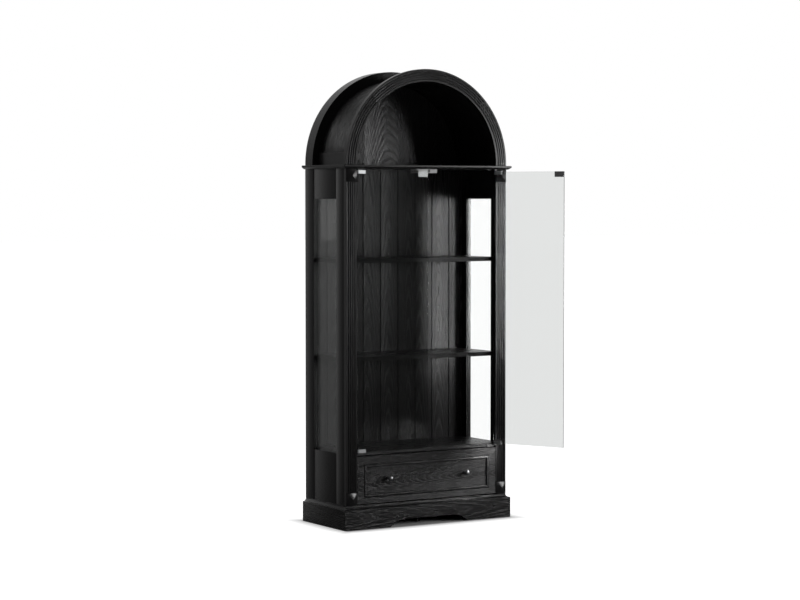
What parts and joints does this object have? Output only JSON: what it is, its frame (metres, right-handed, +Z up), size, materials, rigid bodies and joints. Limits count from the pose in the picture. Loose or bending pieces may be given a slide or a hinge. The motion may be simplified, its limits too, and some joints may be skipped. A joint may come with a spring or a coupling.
{
  "type": "bookcase with glass doors",
  "caption": "Tall black oak display bookcase with frameless glass doors between fluted posts, glazed side frames, a drawer in the base and an arched open niche on top.",
  "frame": {"origin": "on the floor under the middle of the plinth, on the foot of the bearer under the base panel", "axes": "+Z up; +X to the right of a person facing the doors; +Y from the doors to the back"},
  "size_m": [0.9896, 0.7194, 2.1079],
  "materials": {
    "black_oak": "black stained oak, satin lacquer, open grain",
    "plain_birch": "plain sanded birch, unlacquered",
    "clear_glass": "clear, polished edges",
    "chrome": "polished",
    "strike_steel": "pale plated sheet",
    "pin_steel": "turned",
    "zinc_steel": "zinc plated",
    "dark_metal": "dark antique, satin",
    "latch_plastic": "pale grey, smooth",
    "glide_plastic": "black, smooth"
  },
  "bodies": {
    "root": {"arch_back": "black_oak", "arch_barrel": "black_oak", "arch_foot_left": "black_oak", "arch_foot_right": "black_oak", "arch_front_ring": "black_oak", "arch_rear_ring": "black_oak", "back_panel": "black_oak", "base_panel": "black_oak", "corner_blocks_left": "black_oak", "corner_blocks_right": "black_oak", "cornice_front": "black_oak", "cornice_left": "black_oak", "cornice_right": "black_oak", "display_deck": "black_oak", "floor_glides": "glide_plastic", "hinge_brackets": "dark_metal", "latch_housing": "latch_plastic", "pilaster_left": "black_oak", "pilaster_right": "black_oak", "plinth_back": "black_oak", "plinth_bearer": "plain_birch", "plinth_corner_blocks": "plain_birch", "plinth_front": "black_oak", "plinth_left": "black_oak", "plinth_right": "black_oak", "runner_cabinet_members": "zinc_steel", "runner_packings": "plain_birch", "shelf_lower": "black_oak", "shelf_pins": "pin_steel", "shelf_upper": "black_oak", "side_left_bottom_panel": "black_oak", "side_left_front_stile": "black_oak", "side_left_glass": "clear_glass", "side_left_glazing_beads": "black_oak", "side_left_rear_stile": "black_oak", "side_left_top_rail": "black_oak", "side_right_bottom_panel": "black_oak", "side_right_front_stile": "black_oak", "side_right_glass": "clear_glass", "side_right_glazing_beads": "black_oak", "side_right_rear_stile": "black_oak", "side_right_top_rail": "black_oak", "top_panel": "black_oak"},
    "door_left": {"door_left_glass": "clear_glass", "door_left_hinge_clips": "chrome", "door_left_strike": "strike_steel"},
    "door_right": {"door_right_glass": "clear_glass", "door_right_hinge_clips": "chrome", "door_right_strike": "strike_steel"},
    "drawer": {"drawer_front": "black_oak", "drawer_moulding": "black_oak", "drawer_left_side": "plain_birch", "drawer_right_side": "plain_birch", "drawer_back": "plain_birch", "drawer_bottom": "plain_birch", "drawer_knobs": "dark_metal", "runner_drawer_members": "zinc_steel"},
    "runner_middles": {"runner_middle_members": "zinc_steel"},
    "latch_left": {"latch_plunger_left": "latch_plastic"},
    "latch_right": {"latch_plunger_right": "latch_plastic"}
  },
  "joints": [
    {"name": "door_left_hinge", "type": "hinge", "parent": "root", "child": "door_left", "pos_m": [-0.375, -0.1805, 0.9955], "axis": [0, 0, 1], "range_deg": [-114.5, 0]},
    {"name": "door_right_hinge", "type": "hinge", "parent": "root", "child": "door_right", "pos_m": [0.375, -0.1805, 0.9955], "axis": [0, 0, 1], "range_deg": [-114.5, 0]},
    {"name": "drawer_slide", "type": "slide", "parent": "root", "child": "drawer", "axis": [0, -1, 0], "range_m": [0, 0.28]},
    {"name": "runner_middle_slide", "type": "slide", "parent": "root", "child": "runner_middles", "axis": [0, -1, 0], "range_m": [0, 0.14]},
    {"name": "latch_left_press", "type": "slide", "parent": "root", "child": "latch_left", "axis": [0, 1, 0], "range_m": [0, 0.003], "stiffness_N_per_m": 400, "springref_m": -0.004},
    {"name": "latch_right_press", "type": "slide", "parent": "root", "child": "latch_right", "axis": [0, 1, 0], "range_m": [0, 0.003], "stiffness_N_per_m": 400, "springref_m": -0.004}
  ],
  "couplings": [
    {"joint": "runner_middle_slide", "follows": "drawer_slide", "ratio": 0.5}
  ]
}
